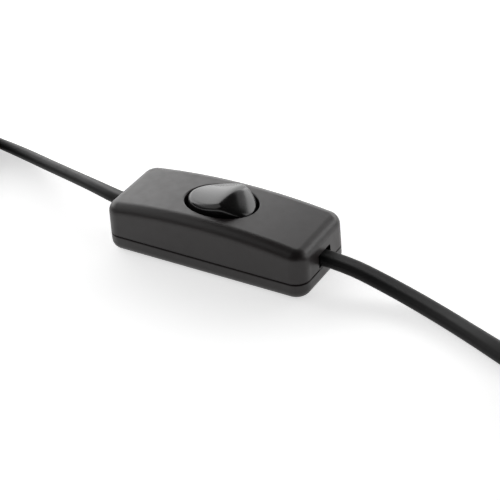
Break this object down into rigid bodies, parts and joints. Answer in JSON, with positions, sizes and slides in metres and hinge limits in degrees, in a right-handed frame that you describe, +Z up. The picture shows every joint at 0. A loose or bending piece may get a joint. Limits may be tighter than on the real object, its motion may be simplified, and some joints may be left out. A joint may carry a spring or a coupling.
{
  "type": "switched lamp cord",
  "caption": "Flat two-core lamp cord with an in-line rocker switch in a black split housing, a flat two-pin plug at one end and stripped cores at the other.",
  "frame": {"origin": "centre of the switch housing's underside", "axes": "+X along the cord towards the plug, +Z up through the rocker, +Y across the switch"},
  "size_m": [0.381, 0.0412, 0.0247],
  "materials": {
    "housing": "satin black moulded plastic, fine grain",
    "rocker": "satin black moulded plastic, smoother than the housing",
    "cord": "black flat flexible sheath",
    "plug": "black moulded plug",
    "tie": "black ribbed strap",
    "nylon": "natural white moulded nylon",
    "clamp": "grey moulded clamp bar",
    "brass": "stamped brass strip",
    "silver": "silver contact rivet",
    "steel": "zinc-plated steel",
    "pin_metal": "nickel-plated brass pin",
    "live": "brown core insulation",
    "neutral": "blue core insulation",
    "copper": "bare copper strands"
  },
  "bodies": {
    "housing": {"top_cover": "housing", "base_shell": "housing", "saddle_terminal": "brass", "contact_terminal": "brass", "fixed_contact": "silver", "terminal_screws": "steel", "housing_screws": "steel", "cord_clamp_left": "clamp", "cord_clamp_right": "clamp", "clamp_screws": "steel", "live_core_left": "live", "live_core_right": "live", "neutral_core": "neutral", "wire_ends": "copper", "cord_left": "cord", "cord_right": "cord", "hank_left": "cord", "hank_right": "cord", "hank_tie_left": "tie", "hank_tie_right": "tie", "plug_lead": "cord", "plug_body": "plug", "plug_pins": "pin_metal", "pin_sleeves": "plug", "lamp_tail": "cord", "lamp_core_brown": "live", "lamp_core_blue": "neutral", "lamp_ferrules": "steel"},
    "rocker": {"rocker": "rocker", "plunger_spring": "steel"},
    "plunger": {"plunger": "nylon"},
    "contact_bridge": {"contact_bridge": "brass", "moving_contact": "silver"}
  },
  "joints": [
    {"name": "rocker_pivot", "type": "hinge", "parent": "housing", "child": "rocker", "pos_m": [0, 0, 0.012], "axis": [0, -1, 0], "range_deg": [0, 16]},
    {"name": "contact_pivot", "type": "hinge", "parent": "housing", "child": "contact_bridge", "pos_m": [0, 0, 0.0047], "axis": [0, -1, 0], "range_deg": [-14, 0]},
    {"name": "plunger_travel", "type": "slide", "parent": "rocker", "child": "plunger", "axis": [0.1392, 0, 0.9903], "range_m": [0, 0.0008], "stiffness_N_per_m": 400, "springref_m": -0.002, "deforming": ["plunger_spring"]}
  ],
  "couplings": [
    {"joint": "contact_pivot", "follows": "rocker_pivot", "ratio": -0.875}
  ]
}
